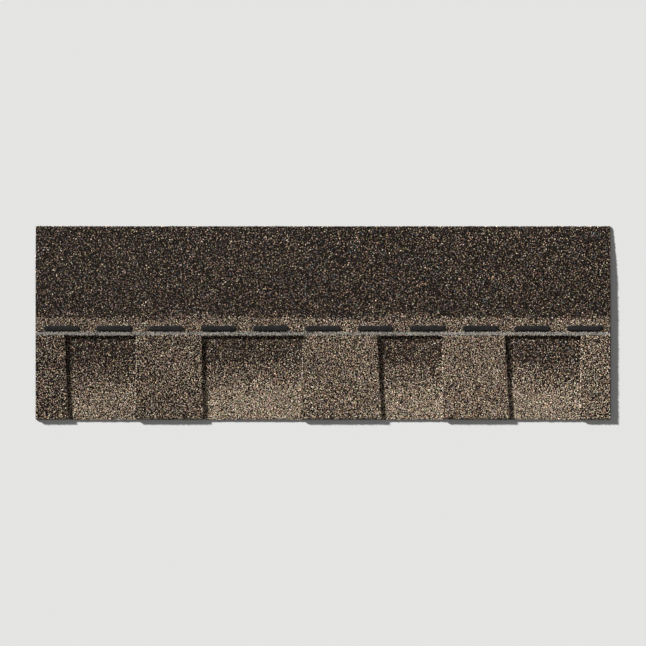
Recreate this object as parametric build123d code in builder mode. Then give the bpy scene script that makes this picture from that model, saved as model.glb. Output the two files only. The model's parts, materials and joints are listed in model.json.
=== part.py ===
from build123d import *

import os

# A laminated asphalt roofing shingle, lying face up on a level floor.
# A full-height overlay with die-cut dragon teeth is bonded to a lower backing
# strip, which shows through the cut-outs between the teeth.
# X runs along the shingle, Y up the roof slope and Z out of the granule face.
# The origin is the middle of the footprint, at floor level. Sizes are in mm.

# The whole shingle
shingle_length = 1000.0
exposure = 143.0  # height of face that a laid course leaves in view
headlap = 194.0  # height that the courses above cover
lamina_thickness = 2.6  # coated mat with its granules, the same for both layers
bond_thickness = 0.4  # adhesive left between the two layers

# The dragon teeth, from left to right, measured along the butt edge
tooth_setback = 2.0  # the backing strip shows this far below the tooth tips
cutout_cover = 3.0  # the cut-outs run this far above the exposure line
tooth_widths = [57.0, 120.0, 143.0, 119.0]  # a last tooth fills the rest
left_flares = [0.0, 3.0, 7.0, 2.0, 3.0]  # a tooth is this much narrower at its
right_flares = [6.0, 3.0, 7.0, 9.0, 0.0]  # root, on its left and right side
cutout_widths = [115.0, 167.0, 104.0, 121.0]
root_radius = 3.0  # corners at the top of a cut-out
tip_radius = 2.0  # corners at the tip of a tooth

# The bond between overlay and backing strip
bond_band = 22.0  # height of double layer above the cut-outs
bead_width = 10.0
bead_margin = 6.0  # the adhesive stops this short of every edge

# The self-seal dashes on the face
dash_count = 11
dash_length = 62.0
dash_width = 10.0
dash_height = 1.0
dash_above_cutouts = 8.0
dash_edge_radius = 0.6

# The release tape on the back, clear of the backing strip
tape_width = 30.0
tape_thickness = 0.1
tape_clearance = 1.5

# The headlap sags from here on until its top edge meets the floor
sag_clearance = 0.5

# Levels across the thickness, from the floor up
seat_level = lamina_thickness + bond_thickness
face_level = seat_level + lamina_thickness

# Lines up the slope, from the butt edge
shingle_height = exposure + headlap
butt_y = -shingle_height / 2
top_y = shingle_height / 2
tip_y = butt_y + tooth_setback
cutout_top_y = butt_y + exposure + cutout_cover
backing_top_y = cutout_top_y + bond_band
tape_y = backing_top_y + tape_clearance
sag_y = tape_y + tape_width + sag_clearance

left_x = -shingle_length / 2
right_x = shingle_length / 2


def tooth_spans():
    """Left and right end of each tooth on the butt edge; the last one ends with the shingle."""
    spans = []
    start = left_x
    for width, gap in zip(tooth_widths, cutout_widths):
        spans.append((start, start + width))
        start += width + gap
    spans.append((start, right_x))
    return spans


teeth = tooth_spans()


# Overlay: the bent sheet first, then the cut-outs between the teeth
with BuildPart() as overlay:
    with BuildSketch(Plane.YZ.offset(left_x)):
        with BuildLine():
            flat_back = Line((tip_y, seat_level), (sag_y, seat_level))
            sagging_back = TangentArc(flat_back @ 1, (top_y, 0), tangent=flat_back % 1)
            top_edge = Line(sagging_back @ 1, (top_y, lamina_thickness))
            flat_face = Line((tip_y, face_level), (sag_y, face_level))
            TangentArc(flat_face @ 1, top_edge @ 1, tangent=flat_face % 1)
            Line(flat_face @ 0, flat_back @ 0)
        make_face()
    extrude(amount=shingle_length)
    with BuildSketch(Plane.XY.offset(seat_level)) as cutouts:
        for tooth in range(len(cutout_widths)):
            butt_left = teeth[tooth][1]
            butt_right = teeth[tooth + 1][0]
            with BuildLine():
                Polyline(
                    (butt_left, tip_y),
                    (butt_left - right_flares[tooth], cutout_top_y),
                    (butt_right + left_flares[tooth + 1], cutout_top_y),
                    (butt_right, tip_y),
                    close=True,
                )
            make_face()
        fillet(cutouts.vertices().group_by(Axis.Y)[-1], root_radius)
    extrude(amount=lamina_thickness, mode=Mode.SUBTRACT)
    tip_corners = overlay.edges().filter_by(Axis.Z).group_by(Axis.Y)[0]
    fillet(tip_corners.sort_by(Axis.X)[1:-1], tip_radius)

# Backing strip: a plain strip, flush with the overlay at both ends
with BuildPart() as backing_strip:
    with BuildSketch() as backing_outline:
        with Locations((0, (butt_y + backing_top_y) / 2)):
            Rectangle(shingle_length, backing_top_y - butt_y)
    extrude(amount=lamina_thickness)

# Laminating adhesive: one bead along the bond band, and two under each tooth
with BuildPart() as laminating_adhesive:
    with BuildSketch(Plane.XY.offset(lamina_thickness)):
        with Locations((0, (cutout_top_y + backing_top_y) / 2)):
            Rectangle(shingle_length - 2 * bead_margin, bead_width)
        for tooth, (tooth_left, tooth_right) in enumerate(teeth):
            bead_left = tooth_left + left_flares[tooth] + bead_margin
            bead_right = tooth_right - right_flares[tooth] - bead_margin
            tip_bead_y = tip_y + bead_margin + bead_width / 2
            middle_bead_y = (tip_y + cutout_top_y) / 2
            bead_x = (bead_left + bead_right) / 2
            with Locations((bead_x, tip_bead_y), (bead_x, middle_bead_y)):
                Rectangle(bead_right - bead_left, bead_width)
    extrude(amount=bond_thickness)

# Self-seal strip: a row of raised dashes that grips the course above
with BuildPart() as seal_dashes:
    dash_y = cutout_top_y + dash_above_cutouts + dash_width / 2
    dash_pitch = shingle_length / dash_count
    with BuildSketch(Plane.XY.offset(face_level)):
        with Locations((0, dash_y)):
            with GridLocations(dash_pitch, 0, dash_count, 1):
                SlotOverall(dash_length, dash_width)
    extrude(amount=dash_height)
    fillet(seal_dashes.edges().group_by(Axis.Z)[-1], dash_edge_radius)

# Release tape: a film on the overlay's back, beside the backing strip
with BuildPart() as release_tape:
    with BuildSketch(Plane.XY.offset(seat_level)):
        with Locations((0, tape_y + tape_width / 2)):
            Rectangle(shingle_length, tape_width)
    extrude(amount=-tape_thickness)

pieces = {
    "overlay": overlay,
    "backing_strip": backing_strip,
    "laminating_adhesive": laminating_adhesive,
    "seal_dashes": seal_dashes,
    "release_tape": release_tape,
}

os.makedirs("parts", exist_ok=True)
for name, piece in pieces.items():
    piece.part.label = name
    export_step(piece.part, f"parts/{name}.step")
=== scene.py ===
import json
import math

import bmesh
import bpy
import numpy as np
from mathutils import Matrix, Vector, noise


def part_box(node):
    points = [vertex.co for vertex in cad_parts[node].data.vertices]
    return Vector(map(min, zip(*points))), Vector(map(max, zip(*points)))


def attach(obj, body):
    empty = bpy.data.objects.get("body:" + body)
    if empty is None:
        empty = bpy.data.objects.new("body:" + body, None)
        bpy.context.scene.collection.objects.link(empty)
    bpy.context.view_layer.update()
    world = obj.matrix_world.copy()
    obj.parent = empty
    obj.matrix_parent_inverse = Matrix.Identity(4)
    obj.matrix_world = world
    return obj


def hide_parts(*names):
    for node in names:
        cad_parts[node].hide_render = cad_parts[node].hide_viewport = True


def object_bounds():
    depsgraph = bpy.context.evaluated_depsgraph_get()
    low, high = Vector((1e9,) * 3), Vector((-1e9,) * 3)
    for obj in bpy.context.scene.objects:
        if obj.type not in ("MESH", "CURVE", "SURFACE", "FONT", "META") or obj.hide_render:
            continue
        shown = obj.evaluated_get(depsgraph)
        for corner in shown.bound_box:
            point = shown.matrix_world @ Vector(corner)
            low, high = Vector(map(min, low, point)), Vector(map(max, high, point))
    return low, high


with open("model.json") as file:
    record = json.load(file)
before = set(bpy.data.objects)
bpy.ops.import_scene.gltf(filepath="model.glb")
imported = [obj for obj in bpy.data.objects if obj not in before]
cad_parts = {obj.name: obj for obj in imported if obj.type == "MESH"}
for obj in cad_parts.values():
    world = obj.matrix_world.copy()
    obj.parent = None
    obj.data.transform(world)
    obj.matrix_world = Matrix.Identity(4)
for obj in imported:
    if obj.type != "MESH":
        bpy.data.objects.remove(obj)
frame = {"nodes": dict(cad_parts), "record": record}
cad_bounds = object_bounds()
record = frame["record"]

# Backing strip: the lower sheet, which shows between the teeth.
# It is a glass-fibre mat soaked and coated in asphalt, with granules rolled into its face and sand on
# its back. It is slit to width, which leaves bare asphalt edges with the mat as a thin line in them.
granule_bed = 0.0006  # the granules make up this much of a sheet's thickness
rim_steps = (  # from a cut edge in: a step's width, and how far its outer border is pressed down
    (0.0009, 0.00040),
    (0.0009, 0.00012),
)
torn_step = 0.003  # a cut edge is uneven at this spacing
torn_depth = 0.00012
upright = 0.5  # a face of a cut edge has a normal that rises less than this
same_point, same_plane = 1e-6, 0.004  # metres and radians, to merge the solid's triangles


def new_material(name):
    """An empty material, its nodes, and its Principled shader."""
    material = bpy.data.materials.new(name)
    material.use_nodes = True
    return material, material.node_tree.nodes, material.node_tree.nodes["Principled BSDF"]


def join(nodes, start, end):
    """Links two sockets of one material."""
    nodes.id_data.links.new(start, end)


def speckle(nodes, size):
    """Noise on the object's own coordinates, with features about size metres wide."""
    place = nodes.new("ShaderNodeTexCoord")
    grain = nodes.new("ShaderNodeTexNoise")
    grain.inputs["Scale"].default_value = 1 / size
    grain.inputs["Detail"].default_value = 3.0
    grain.inputs["Roughness"].default_value = 0.6
    join(nodes, place.outputs["Object"], grain.inputs["Vector"])
    return grain.outputs["Fac"]


def ramp(nodes, source, stops):
    """A colour ramp on a socket. Stops are (place, colour) or (place, grey)."""
    colours = nodes.new("ShaderNodeValToRGB")
    while len(colours.color_ramp.elements) < len(stops):
        colours.color_ramp.elements.new(1.0)
    for element, (place, colour) in zip(colours.color_ramp.elements, stops):
        element.position = place
        rgb = colour if isinstance(colour, tuple) else (colour, colour, colour)
        element.color = (*rgb, 1.0)
    join(nodes, source, colours.inputs["Fac"])
    return colours.outputs["Color"]


def multiply(nodes, colour, factor):
    """One colour times another."""
    product = nodes.new("ShaderNodeMix")
    product.data_type = "RGBA"
    product.blend_type = "MULTIPLY"
    product.inputs["Factor"].default_value = 1.0
    join(nodes, colour, product.inputs["A"])
    join(nodes, factor, product.inputs["B"])
    return product.outputs["Result"]


def bump(nodes, shader, height, distance):
    """Bumps of that many metres on a shader."""
    relief = nodes.new("ShaderNodeBump")
    relief.inputs["Distance"].default_value = distance
    join(nodes, height, relief.inputs["Height"])
    join(nodes, relief.outputs["Normal"], shader.inputs["Normal"])


def bedding_asphalt():
    """The asphalt between the granules, full of dust and of granules too small to stand out."""
    grit_size, grit_relief = 0.0009, 0.0002
    bare, stained, dusty = (0.004, 0.004, 0.004), (0.012, 0.010, 0.008), (0.04, 0.03, 0.022)
    smooth, dull = 0.55, 0.95
    material, nodes, shader = new_material("bedding_asphalt")
    place = nodes.new("ShaderNodeTexCoord")
    grit = nodes.new("ShaderNodeTexVoronoi")
    grit.inputs["Scale"].default_value = 1 / grit_size
    join(nodes, place.outputs["Object"], grit.inputs["Vector"])
    chance = nodes.new("ShaderNodeSeparateColor")
    join(nodes, grit.outputs["Color"], chance.inputs["Color"])
    colour = ramp(nodes, chance.outputs["Red"], [(0.0, bare), (0.55, stained), (1.0, dusty)])
    roughness = ramp(nodes, chance.outputs["Green"], [(0.0, smooth), (1.0, dull)])
    join(nodes, colour, shader.inputs["Base Color"])
    join(nodes, roughness, shader.inputs["Roughness"])
    bump(nodes, shader, grit.outputs["Distance"], grit_relief)
    shader.inputs["Specular IOR Level"].default_value = 0.1
    return material


def cut_edge():
    """A slit edge: asphalt dragged by the blade, and the mat's fibres as a broken line half way up."""
    smear_size, smear_relief = 0.0012, 0.0003
    fibre_wander = 0.5  # how far the line of fibres strays, as a share of the sheet's thickness
    asphalt, fibre = (0.016, 0.015, 0.014), (0.12, 0.10, 0.075)
    wiped, torn = 0.45, 0.85
    material, nodes, shader = new_material("cut_edge")
    through = nodes.new("ShaderNodeAttribute")
    through.attribute_name = "through"
    smear = speckle(nodes, smear_size)
    wander = nodes.new("ShaderNodeMath")
    wander.operation = "MULTIPLY_ADD"
    wander.inputs[1].default_value = fibre_wander
    join(nodes, smear, wander.inputs[0])
    join(nodes, through.outputs["Fac"], wander.inputs[2])
    stops = [(0.0, asphalt), (0.66, asphalt), (0.71, fibre), (0.78, fibre), (0.83, asphalt)]
    join(nodes, ramp(nodes, wander.outputs[0], stops), shader.inputs["Base Color"])
    join(nodes, ramp(nodes, smear, [(0.3, wiped), (0.7, torn)]), shader.inputs["Roughness"])
    bump(nodes, shader, smear, smear_relief)
    return material


def sanded_back():
    """The back: asphalt dusted with fine sand, so that stacked shingles come apart."""
    sand_size, sand_relief = 0.0007, 0.0002
    drift_size, thin_drift = 0.03, 0.6
    asphalt, dust, sand = (0.045, 0.043, 0.040), (0.12, 0.115, 0.105), (0.30, 0.28, 0.25)
    pressed, loose = 0.7, 0.95
    material, nodes, shader = new_material("sanded_back")
    grains = speckle(nodes, sand_size)
    drift = speckle(nodes, drift_size)
    colour = ramp(nodes, grains, [(0.35, asphalt), (0.55, dust), (0.72, sand)])
    cover = ramp(nodes, drift, [(0.3, thin_drift), (0.7, 1.0)])
    join(nodes, multiply(nodes, colour, cover), shader.inputs["Base Color"])
    join(nodes, ramp(nodes, grains, [(0.3, pressed), (0.7, loose)]), shader.inputs["Roughness"])
    bump(nodes, shader, grains, sand_relief)
    return material


sheet_finishes = [bedding_asphalt(), cut_edge(), sanded_back()]
face_slot, edge_slot, back_slot = range(3)


def link_piece(name, mesh, material_slot, *stands_for):
    """A piece of the shingle, from a finished mesh."""
    piece = bpy.data.objects.new(name, mesh)
    bpy.context.scene.collection.objects.link(piece)
    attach(piece, "root")
    if stands_for:
        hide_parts(*stands_for)
    return piece


def press_rim(bm, face):
    """Presses the rim of the face down in steps, so that it is rounded over towards the cut edges."""
    for width, drop in rim_steps:
        rim = bmesh.ops.inset_region(
            bm, faces=face, thickness=width, use_boundary=True, use_even_offset=True
        )["faces"]
        for v in {v for f in rim for v in f.verts} - {v for f in face for v in f.verts}:
            v.co.z -= drop
    bm.normal_update()


def tear_edges(bm):
    """Makes the cut edges uneven, where the blade tore the mat."""
    while long_edges := [
        e for e in bm.edges
        if e.calc_length() > torn_step and any(abs(f.normal.z) < upright for f in e.link_faces)
    ]:
        bmesh.ops.subdivide_edges(bm, edges=long_edges, cuts=1, use_grid_fill=True)
    bm.normal_update()
    rng = np.random.default_rng(5)
    for v in bm.verts:
        sides = [f.normal for f in v.link_faces if abs(f.normal.z) < upright]
        if sides:
            v.co -= sum(sides, Vector()).normalized() * abs(rng.normal(0, torn_depth))
    bm.normal_update()


def coated_sheet(name, node, material_slot):
    """A sheet before its granules: its face is lower by them, its rim pressed down, its edges uneven."""
    bm = bmesh.new()
    bm.from_mesh(frame["nodes"][node].data)
    bmesh.ops.remove_doubles(bm, verts=bm.verts, dist=same_point)
    bmesh.ops.dissolve_limit(bm, angle_limit=same_plane, verts=bm.verts, edges=bm.edges)
    bm.normal_update()
    through = bm.verts.layers.float.new("through")
    face = [f for f in bm.faces if f.normal.z > upright]
    for v in {v for f in face for v in f.verts}:
        v[through] = 1.0
        v.co.z -= granule_bed
    press_rim(bm, face)
    tear_edges(bm)
    for f in bm.faces:
        f.material_index = edge_slot
        if abs(f.normal.z) > upright:
            f.material_index = face_slot if f.normal.z > 0 else back_slot
    mesh = bpy.data.meshes.new(name)
    bm.to_mesh(mesh)
    bm.free()
    for finish in sheet_finishes:
        mesh.materials.append(finish)
    return link_piece(name, mesh, material_slot, node)


backing_sheet = coated_sheet("backing_sheet", "backing_strip", "backing_granules")

# Granules of the backing strip: crushed stone with a fired mineral coat, rolled into the hot asphalt.
# They are dropped in three bands, from a dark one at the top of the cut-outs to a light one at the butt
# edge, which gives the cut-outs their look of depth. Only the cut-outs and the butt edge show them.
face_gap = 0.00118  # least distance between the middles of two granules
crowding = 8  # places tried for each square gap of face, enough to leave no bare patch
stone_kinds = (  # sides of its base, and how wide its top is against its base: 0 is a point
    (4, 0.55), (4, 0.7), (3, 0.6), (5, 0.0), (5, 0.0), (4, 0.0), (6, 0.0),
)
stone_lean, stone_chipping, stone_crown = 0.13, 0.07, 0.13  # spreads, where the stone is 1 wide and 1 high
stone_width, width_range = (1.4, 0.28), (0.8, 2.2)  # in gaps: mean and spread, least and most
stone_height, height_range = (0.00056, 0.00015), (0.0003, 0.00075)
coats = {  # roughly from dark to light
    "black": (0.0085, 0.0060, 0.0042),
    "umber": (0.064, 0.044, 0.033),
    "brown": (0.250, 0.165, 0.112),
    "plum": (0.250, 0.165, 0.180),
    "slate": (0.150, 0.180, 0.195),
    "olive": (0.260, 0.250, 0.120),
    "rust": (0.420, 0.250, 0.150),
    "taupe": (0.345, 0.270, 0.212),
    "tan": (0.620, 0.465, 0.315),
    "buff": (0.860, 0.750, 0.580),
}
blends = {  # parts of each coat, in the order above
    "tooth": (34, 6, 10, 5, 1, 1.5, 3, 6, 20, 12.5),
    "dark": (49, 20, 9, 3.5, 1.5, 1.5, 2.5, 3, 6, 4),
    "middle": (39, 15, 8, 4, 1, 1.5, 3, 5, 13.5, 9),
    "light": (21, 4, 8, 5, 0.5, 1, 2.5, 7, 29, 24),
    "headlap": (52, 20, 9, 3, 3, 2, 1, 5, 4, 1),
}
blend_number = {name: number for number, name in enumerate(blends)}
mixing_cell = 0.003  # the coats are well mixed down to patches of this size
mixing_slip = 0.1  # how unevenly they are mixed, on a scale from 0, black, to 1, the lightest
shade_spread, hue_spread = 0.25, 0.075  # from granule to granule of one coat
# Pale broken stone on some granules of the rims, and their share: partly real, partly a painted highlight.
fresh_stone_and_painted_highlight = (0.62, 0.53, 0.43)
broken_and_painted_highlight_share = 0.14  # of the granules on a rim, whose coat the blade broke off
rim_rise = 0.97  # the face of a rim has a normal that rises less than this
band_ends = (  # above the butt edge: where the light and the middle band end, and how softly
    (0.061, 0.012),
    (0.100, 0.0035),
)
band_wave = (0.31, 0.003)  # pitch and reach of the waves in these lines
# The first cut-out, at the left end, gets more black granules than the others: a painted falloff of light.
cutout_shares_and_painted_falloff = (0.77, 0.955, 0.97, 0.94)  # of the blend in each cut-out; black granules make up the rest
under_sides, under_ends = 0.012, 0.004  # the granules go on this far under a cut-out's sides and its ends
middle_line = 0.075  # the two meshes of granules meet here


def crushed_stone(sides, top_width, seed):
    """Points and triangles of one granule, 1 wide and 1 high, with no underside."""
    rng = np.random.default_rng(seed)
    bm = bmesh.new()
    bmesh.ops.create_cone(
        bm, cap_ends=True, segments=sides, radius1=0.5, radius2=0.5 * top_width, depth=1.0
    )
    bmesh.ops.remove_doubles(bm, verts=bm.verts, dist=same_point)
    bm.normal_update()
    underside = [f for f in bm.faces if f.normal.z < -upright]
    bmesh.ops.delete(bm, geom=underside, context="FACES_ONLY")
    lean = Vector((*rng.normal(0, stone_lean, 2), 0))
    for v in bm.verts:
        top = v.co.z > 0
        v.co.z += 0.5
        v.co += Vector((*rng.normal(0, stone_chipping, 2), rng.normal(0, stone_crown) * top)) + lean * top
    bmesh.ops.triangulate(bm, faces=bm.faces)
    points = np.array([v.co for v in bm.verts])
    triangles = np.array([[v.index for v in f.verts] for f in bm.faces])
    bm.free()
    return points, triangles


stones = [crushed_stone(*kind, seed) for seed, kind in enumerate(stone_kinds)]


def scatter(sheet, gap, seed):
    """Where granules lie on a sheet's face, that far apart or more: places, and the face's normals."""
    drop = bpy.data.node_groups.new("granule_drop", "GeometryNodeTree")
    for way in ("INPUT", "OUTPUT"):
        drop.interface.new_socket("Geometry", in_out=way, socket_type="NodeSocketGeometry")
    kinds = (
        "NodeGroupInput",
        "GeometryNodeDistributePointsOnFaces",
        "GeometryNodeStoreNamedAttribute",
        "GeometryNodePointsToVertices",
        "NodeGroupOutput",
    )
    stages = [drop.nodes.new(kind) for kind in kinds]
    for before, after in zip(stages, stages[1:]):
        drop.links.new(before.outputs[0], after.inputs[0])
    spread, slope = stages[1:3]
    bed = drop.nodes.new("GeometryNodeMaterialSelection")
    bed.inputs["Material"].default_value = sheet_finishes[face_slot]
    drop.links.new(bed.outputs["Selection"], spread.inputs["Selection"])
    spread.distribute_method = "POISSON"
    spread.inputs["Distance Min"].default_value = gap
    spread.inputs["Density Max"].default_value = crowding / gap**2
    spread.inputs["Seed"].default_value = seed
    slope.data_type = "FLOAT_VECTOR"
    slope.inputs["Name"].default_value = "slope"
    drop.links.new(spread.outputs["Normal"], slope.inputs["Value"])
    sheet.modifiers.new("drop", "NODES").node_group = drop
    dropped = bpy.data.meshes.new_from_object(
        sheet.evaluated_get(bpy.context.evaluated_depsgraph_get())
    )
    places, normals = np.empty((2, len(dropped.vertices) * 3))
    dropped.vertices.foreach_get("co", places)
    dropped.attributes["slope"].data.foreach_get("vector", normals)
    sheet.modifiers.clear()
    bpy.data.meshes.remove(dropped)
    bpy.data.node_groups.remove(drop)
    return places.reshape(-1, 3), normals.reshape(-1, 3)


def granule_coat():
    """The fired coat of a granule, in the granule's own tint, with fine chips in it."""
    chip_size, chip_relief = 0.00045, 0.0001
    worn, built_up = 0.72, 1.25
    dull, fused = 0.9, 0.6
    material, nodes, shader = new_material("granule_coat")
    tint = nodes.new("ShaderNodeAttribute")
    tint.attribute_name = "tint"
    chips = speckle(nodes, chip_size)
    wear = ramp(nodes, chips, [(0.3, worn), (0.7, built_up)])
    join(nodes, multiply(nodes, tint.outputs["Color"], wear), shader.inputs["Base Color"])
    join(nodes, ramp(nodes, chips, [(0.3, dull), (0.7, fused)]), shader.inputs["Roughness"])
    bump(nodes, shader, chips, chip_relief)
    shader.inputs["Specular IOR Level"].default_value = 0.08
    return material


granule_finish = granule_coat()


def band_map(corners, middles):
    """A band of granules laid out as strips, one above another, so that together they fill a square."""
    spare = 0.0016  # round each strip, for granules that reach past it
    low, high = corners.min(0), corners.max(0)
    length, height = (high - low)[:2]
    strips = round(math.sqrt(length / height))
    strip = ((middles[:, 0] - low[0]) / length * strips).astype(int).clip(0, strips - 1)
    across = corners[:, 0] - low[0] - strip * length / strips + spare
    up = corners[:, 1] - low[1] + spare + strip * (height + 2 * spare)
    return np.c_[across / (length / strips + 2 * spare), up / (strips * (height + 2 * spare))]


def granules(name, material_slot, gap, places, normals, tints, seed):
    """One mesh of granules at those places: each is a random stone with its own turn, size and tint."""
    rng = np.random.default_rng(seed)
    kinds = rng.integers(len(stones), size=len(places))
    turns = rng.uniform(0, 2 * math.pi, len(places))
    widths = gap * rng.normal(*stone_width, (len(places), 2)).clip(*width_range)
    heights = rng.normal(*stone_height, len(places)).clip(*height_range)
    corners, middles, triangles, colours, count = [], [], [], [], 0
    for kind, (stone, faces) in enumerate(stones):
        chosen = np.flatnonzero(kinds == kind)
        x, y = (stone[None, :, :2] * widths[chosen, None, :]).transpose(2, 0, 1)
        cos, sin = np.cos(turns[chosen])[:, None], np.sin(turns[chosen])[:, None]
        x, y = x * cos - y * sin, x * sin + y * cos
        slope = normals[chosen, :, None]
        lie = (x * slope[:, 0] + y * slope[:, 1]) / slope[:, 2]  # how much lower the sheet is there
        z = stone[None, :, 2] * heights[chosen, None] - lie
        corners.append((np.stack([x, y, z], 2) + places[chosen, None]).reshape(-1, 3))
        middles.append(np.repeat(places[chosen], len(stone), axis=0))
        colours.append(np.repeat(tints[chosen], len(stone), axis=0))
        firsts = count + np.arange(len(chosen)) * len(stone)
        triangles.append((faces[None] + firsts[:, None, None]).reshape(-1, 3))
        count += len(chosen) * len(stone)
    corners, middles, triangles, colours = map(np.concatenate, (corners, middles, triangles, colours))
    mesh = bpy.data.meshes.new(name)
    mesh.vertices.add(len(corners))
    mesh.vertices.foreach_set("co", corners.ravel())
    mesh.loops.add(triangles.size)
    mesh.loops.foreach_set("vertex_index", triangles.ravel())
    mesh.polygons.add(len(triangles))
    mesh.polygons.foreach_set("loop_start", np.arange(0, triangles.size, 3))
    mesh.update(calc_edges=True)
    mesh.shade_flat()
    tint = mesh.attributes.new("tint", "FLOAT_COLOR", "POINT")
    tint.data.foreach_set("color", np.c_[colours, np.ones(len(colours))].ravel())
    bands = mesh.uv_layers.new(name="OFBake")
    bands.data.foreach_set("uv", band_map(corners, middles)[triangles.ravel()].ravel())
    mesh.materials.append(granule_finish)
    return link_piece(name, mesh, material_slot)


def tinted(blend_numbers, shares, places, normals, rng):
    """A tint for each granule: black, or from its place's blend. Rims get broken stone, partly a painted
    highlight.
    """
    palette = np.array(list(coats.values()))
    tints = np.empty((len(blend_numbers), 3))
    order = np.lexsort((places[:, 0] // mixing_cell, places[:, 1] // mixing_cell))  # cell by cell
    lightness = np.empty(len(tints))
    golden_step = (math.sqrt(5) - 1) / 2  # granules that follow each other in the order differ by this
    lightness[order] = (np.arange(len(tints)) * golden_step + rng.normal(0, mixing_slip, len(tints))) % 1
    rim = normals[:, 2] < rim_rise
    # The blend takes up its share of the granules, and the rest, which come out below 0, are black.
    # On the rims the blend takes all the granules, with no extra black: a painted highlight.
    lightness = (1 - (1 - lightness) / np.where(rim, 1.0, shares)).clip(0, 1)
    for number, parts in enumerate(blends.values()):
        here = np.flatnonzero(blend_numbers == number)
        tints[here] = palette[np.searchsorted(np.cumsum(parts)[:-1] / sum(parts), lightness[here])]
    # Pale broken stone on the rims: partly real, partly a painted highlight.
    tints[rim & (rng.random(len(tints)) < broken_and_painted_highlight_share)] = fresh_stone_and_painted_highlight
    tints *= np.exp(rng.normal(0, shade_spread, len(tints)))[:, None]
    return tints * np.exp(rng.normal(0, hue_spread, tints.shape))


def wavering(x, pitch, reach, rng):
    """A slow uneven wave along the shingle, for the border between two blends."""
    overtones = (1, 2.3, 4.1)
    return reach * sum(
        np.sin(x * 2 * math.pi / pitch * tone + rng.uniform(0, 2 * math.pi)) / tone for tone in overtones
    )


butt_y = cad_bounds[0].y
cutouts = [opening["box_m"] for opening in record["physics"]["openings"]]
cutout_middles = np.array([(low[0] + high[0]) / 2 for low, high in cutouts])
cutout_top = cutouts[0][1][1] + under_ends

rng = np.random.default_rng(46)
places, normals = scatter(backing_sheet, face_gap, 3)
x, y = places[:, 0], places[:, 1]
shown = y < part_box("overlay")[0].y + under_ends
for low, high in cutouts:
    shown |= (x > low[0] - under_sides) & (x < high[0] + under_sides) & (y < cutout_top)
places, normals = places[shown], normals[shown]
x, rise = places[:, 0], places[:, 1] - butt_y
lines_passed = sum(
    (rise + wavering(x, *band_wave, rng) + rng.normal(0, softness, len(x)) > end).astype(int)
    for end, softness in band_ends
)
bands = np.array([blend_number[name] for name in ("light", "middle", "dark")])[lines_passed]
# Fewer of the blend's granules in the first cut-out: painted shade towards the left end.
shares = np.array(cutout_shares_and_painted_falloff)[np.abs(x[:, None] - cutout_middles).argmin(1)]
tints = tinted(bands, shares, places, normals, rng)
band_pieces = {"light_backing_granules": rise < middle_line, "dark_backing_granules": rise >= middle_line}
for seed, (name, part) in enumerate(band_pieces.items(), 21):
    granules(name, "backing_granules", face_gap, places[part], normals[part], tints[part], seed)

# Overlay: the full-height sheet of the same make, with the dragon teeth die-cut in its lower part.
# It lies on the backing strip, and above that it sags to the floor.
overlay_sheet = coated_sheet("overlay_sheet", "overlay", "overlay_granules")

# Granules of the overlay: the teeth have one blend, with a share of black granules that changes from tooth
# to tooth, most at the left end: a painted falloff of light. The headlap, which ends up covered, has a
# plain dark blend. The nail line is painted on, just above the cut-outs.
headlap_gap = 0.0013
# More black granules on the teeth towards the left end: painted shade where the light falls off.
tooth_shares_and_painted_falloff = (0.62, 0.78, 0.89, 0.96, 0.92)  # of the teeth's blend; black granules make up the rest
strip_share = 0.9  # the same, above the cut-outs
prime_ends, prime_softness = 0.178, 0.003  # the teeth's blend runs up to here above the butt edge
prime_wave = (0.4, 0.003)
nail_line_width = 0.005
paint, paint_shades, painted_share = (0.50, 0.48, 0.44), (0.75, 1.05), 0.93
zones = {  # from here to here above the butt edge, and the gap between the granules there
    "tooth_granules": (0.0, 0.147, face_gap),
    "nail_zone_granules": (0.147, prime_ends, face_gap),
    "headlap_granules": (prime_ends, 0.258, headlap_gap),
    "top_edge_granules": (0.258, math.inf, headlap_gap),
}
nail_line = next(mount["pos_m"][1] for mount in record["mounts"] if mount["name"] == "nail_line")
drops = {gap: scatter(overlay_sheet, gap, 4) for gap in (face_gap, headlap_gap)}
rng = np.random.default_rng(14)
for seed, (name, (start, end, gap)) in enumerate(zones.items(), 31):
    places, normals = drops[gap]
    rise = places[:, 1] - butt_y
    part = (rise >= start) & (rise < end)
    places, normals, rise = places[part], normals[part], rise[part]
    x = places[:, 0]
    blend = np.where(
        rise + wavering(x, *prime_wave, rng) + rng.normal(0, prime_softness, len(x)) > prime_ends,
        blend_number["headlap"],
        blend_number["tooth"],
    )
    # The teeth's shares carry the painted falloff of light towards the left end.
    shares = np.array(tooth_shares_and_painted_falloff)[np.searchsorted(cutout_middles, x)]
    shares[rise > cutout_top - butt_y] = strip_share
    tints = tinted(blend, shares, places, normals, rng)
    on_line = np.abs(places[:, 1] - nail_line) < nail_line_width / 2
    painted = on_line & (rng.random(len(x)) < painted_share)
    tints[painted] = np.array(paint) * rng.uniform(*paint_shades, (painted.sum(), 1))
    granules(name, "overlay_granules", gap, places, normals, tints, seed)

# Laminating adhesive: beads of soft asphalt between the overlay and the backing strip.
# Pressed flat as the two sheets pass the rollers, they show only as a black line in the joint.
bead_dust, bead_gloss = (0.020, 0.019, 0.018), 0.4


def asphalt(name, dust, gloss):
    """Bare asphalt that has set, with a little dust on it."""
    film_size, film_relief = 0.004, 0.0006
    clean, dulling = (0.010, 0.010, 0.011), 0.25
    material, nodes, shader = new_material(name)
    film = speckle(nodes, film_size)
    join(nodes, ramp(nodes, film, [(0.35, clean), (0.75, dust)]), shader.inputs["Base Color"])
    join(nodes, ramp(nodes, film, [(0.3, gloss), (0.7, gloss + dulling)]), shader.inputs["Roughness"])
    bump(nodes, shader, film, film_relief)
    shader.inputs["Specular IOR Level"].default_value = 0.06
    return material


def refinish(node, material):
    """Gives a CAD node its material."""
    for slot in frame["nodes"][node].material_slots:
        slot.material = material


refinish("laminating_adhesive", asphalt("bead_asphalt", bead_dust, bead_gloss))

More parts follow.
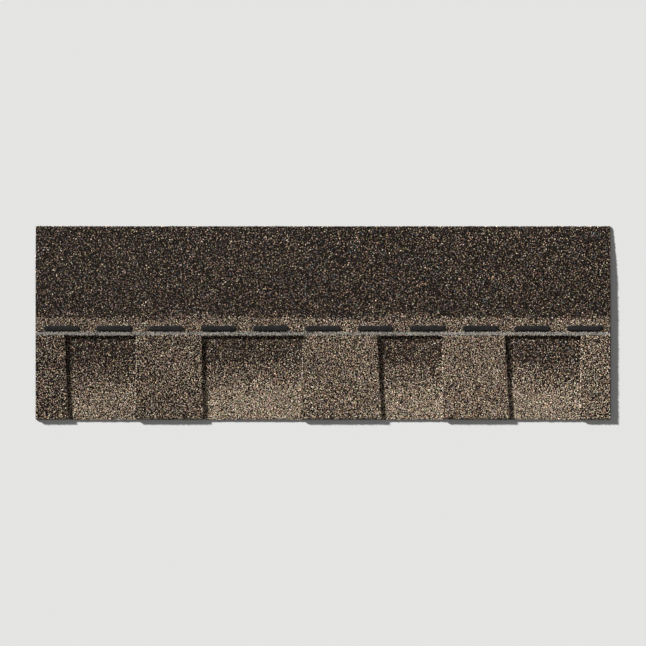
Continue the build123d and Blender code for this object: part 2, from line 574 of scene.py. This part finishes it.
# Self-seal strip: a row of adhesive dashes, printed hot on the face above the cut-outs.
# Each has slumped a little between the granules, and the sun's warmth later bonds it to the next shingle.
dash_count = 11
dash_length, dash_width = 0.062, 0.010
dash_cells = (56, 12)
dash_seat = 0.0049  # the adhesive has run down between the granules to here
dash_edge = 0.35  # height of a dash at its border, as a share of the whole
end_width = 0.3  # width of a dash at its very ends, as a share of the whole
end_slope, side_slope = 26, 5  # how suddenly the top falls off towards the ends and the long sides
ripples, ripple_depth = 9, 0.0007  # along half a dash, in its long sides
ripple_shift, lump_shift = 50, 70  # to a metre of the row, so that no two dashes are alike
lumps_along, lumps_across, lump_height = 7, 1.3, 0.00022  # along and across half a dash
lump_detail = (0.6, 2.0, 4)  # of the fractal: increment, lacunarity and octaves
lump_room = 0.0001  # the top lies this far below the seal strip's height, for the lumps
seal_dust, seal_gloss = (0.034, 0.031, 0.028), 0.7
dash_finish = asphalt("seal_asphalt", seal_dust, seal_gloss)
dash_low, dash_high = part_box("seal_dashes")


def seal_dash(bm, x, y):
    """One dash: a long low pat with round ragged ends and a lumpy top."""
    half_length, half_width = dash_length / 2, dash_width / 2
    pat = bmesh.ops.create_grid(bm, x_segments=dash_cells[0], y_segments=dash_cells[1], size=1.0)["verts"]
    for v in pat:
        along, across = v.co.x, v.co.y
        end = max(0.0, abs(along) * half_length - (half_length - half_width)) / half_width
        half = half_width * math.sqrt(max(end_width**2, 1 - end**2))
        ragged = noise.noise(Vector((along * ripples + x * ripple_shift, round(across), 0))) * ripple_depth
        crown = 1 - abs(across) ** side_slope
        crown *= 1 - max(0.0, abs(along) * end_slope - (end_slope - 1)) ** 2
        own_pattern = Vector((along * lumps_along + x * lump_shift, across * lumps_across, x))
        lumps = noise.fractal(own_pattern, *lump_detail) * lump_height
        height = (dash_high.z - lump_room - dash_seat) * (dash_edge + (1 - dash_edge) * crown)
        v.co = Vector((
            x + along * half_length,
            y + across * half + ragged * abs(across),
            min(dash_seat + height + lumps * crown, dash_high.z),
        ))
    rim = [e for e in bm.edges if e.is_boundary]  # the earlier dashes are closed
    skirt = bmesh.ops.extrude_edge_only(bm, edges=rim)["geom"]
    for v in (g for g in skirt if isinstance(g, bmesh.types.BMVert)):
        v.co.z = dash_seat
    bmesh.ops.contextual_create(bm, geom=[g for g in skirt if isinstance(g, bmesh.types.BMEdge)])


def put_in_order(elements, place):
    """Sorts vertices or faces by their place, because the skirts come in another order each run."""
    for number, element in enumerate(sorted(elements, key=place)):
        element.index = number
    elements.sort()


bm = bmesh.new()
dash_pitch = (cad_bounds[1].x - cad_bounds[0].x) / dash_count
for number in range(dash_count):
    seal_dash(bm, (number - (dash_count - 1) / 2) * dash_pitch, (dash_low.y + dash_high.y) / 2)
bmesh.ops.recalc_face_normals(bm, faces=bm.faces)
put_in_order(bm.verts, lambda v: tuple(v.co))
put_in_order(bm.faces, lambda f: tuple(f.calc_center_median()))
for f in bm.faces:
    f.smooth = True
dash_mesh = bpy.data.meshes.new("seal_strip")
bm.to_mesh(dash_mesh)
bm.free()
dash_mesh.materials.append(dash_finish)
link_piece("seal_strip", dash_mesh, "asphalt", "seal_dashes")

# Release tape: a thin polyester film on the back, which keeps the next shingle's seal strip from sticking.
# It was laid on the hot asphalt, so it has fine wrinkles across it.
creases = (160, 40, 40)  # to a metre, along, across and through the tape
crease_relief = 0.0006
film_shade, film_light = (0.42, 0.42, 0.41), (0.62, 0.62, 0.60)
film_gloss, film_haze = 0.18, 0.34


def wrinkled_film():
    """Pale glossy film, creased across its length."""
    material, nodes, shader = new_material("release_film")
    place = nodes.new("ShaderNodeTexCoord")
    stretch = nodes.new("ShaderNodeMapping")
    stretch.inputs["Scale"].default_value = creases
    crease = nodes.new("ShaderNodeTexNoise")
    crease.inputs["Scale"].default_value = 1.0
    crease.inputs["Detail"].default_value = 4.0
    join(nodes, place.outputs["Object"], stretch.inputs["Vector"])
    join(nodes, stretch.outputs["Vector"], crease.inputs["Vector"])
    colour = ramp(nodes, crease.outputs["Fac"], [(0.3, film_shade), (0.7, film_light)])
    roughness = ramp(nodes, crease.outputs["Fac"], [(0.3, film_gloss), (0.7, film_haze)])
    join(nodes, colour, shader.inputs["Base Color"])
    join(nodes, roughness, shader.inputs["Roughness"])
    bump(nodes, shader, crease.outputs["Fac"], crease_relief)
    return material


refinish("release_tape", wrinkled_film())

# Floor, light and camera: a pale floor, a low key light from the upper left, and a plain sky.
# Together they give a level face its written colour. The camera looks straight down on the shingle.
key_direction = Vector((-15.6, 11.3, 5.1))  # towards the sun
key_share = 0.83  # of the light that falls on a level face
key_spread = math.radians(3)
backdrop = 0.78  # of the sky, as the camera sees it
floor_colour, floor_size = (0.78, 0.78, 0.77), 6.0
frame_width = 1.125  # of the floor, in metres
lens, sensor = 100.0, 36.0  # in millimetres

world = bpy.data.worlds.new("studio")
world.use_nodes = True
nodes = world.node_tree.nodes
background = nodes["Background"]
background.inputs["Color"].default_value = (1, 1, 1, 1)
rays = nodes.new("ShaderNodeLightPath")
seen = rays.outputs["Is Camera Ray"]
for kind in ("Is Glossy Ray", "Is Transmission Ray"):
    either = nodes.new("ShaderNodeMath")
    either.operation = "MAXIMUM"
    join(nodes, seen, either.inputs[0])
    join(nodes, rays.outputs[kind], either.inputs[1])
    seen = either.outputs["Value"]
strength = nodes.new("ShaderNodeMapRange")
strength.inputs["To Min"].default_value = 1 - key_share
strength.inputs["To Max"].default_value = backdrop
join(nodes, seen, strength.inputs["Value"])
join(nodes, strength.outputs["Result"], background.inputs["Strength"])
bpy.context.scene.world = world

key = bpy.data.lights.new("key", "SUN")
key.energy = key_share * math.pi / key_direction.normalized().z
key.angle = key_spread
key_lamp = bpy.data.objects.new("key", key)
key_lamp.rotation_euler = key_direction.to_track_quat("Z", "Y").to_euler()
bpy.context.scene.collection.objects.link(key_lamp)

floor_mesh = bpy.data.meshes.new("floor")
bm = bmesh.new()
bmesh.ops.create_grid(bm, x_segments=1, y_segments=1, size=floor_size)
bm.to_mesh(floor_mesh)
bm.free()
floor = bpy.data.objects.new("floor", floor_mesh)
bpy.context.scene.collection.objects.link(floor)
floor_material, nodes, shader = new_material("pale_floor")
shader.inputs["Base Color"].default_value = (*floor_colour, 1)
shader.inputs["Roughness"].default_value = 1.0
shader.inputs["Specular IOR Level"].default_value = 0.0
floor_mesh.materials.append(floor_material)

camera_data = bpy.data.cameras.new("camera")
camera_data.lens = lens
camera_data.sensor_width = sensor
camera = bpy.data.objects.new("camera", camera_data)
camera.location = (0, 0, frame_width * lens / sensor)
bpy.context.scene.collection.objects.link(camera)
bpy.context.scene.camera = camera
bpy.context.scene.view_settings.view_transform = "Standard"
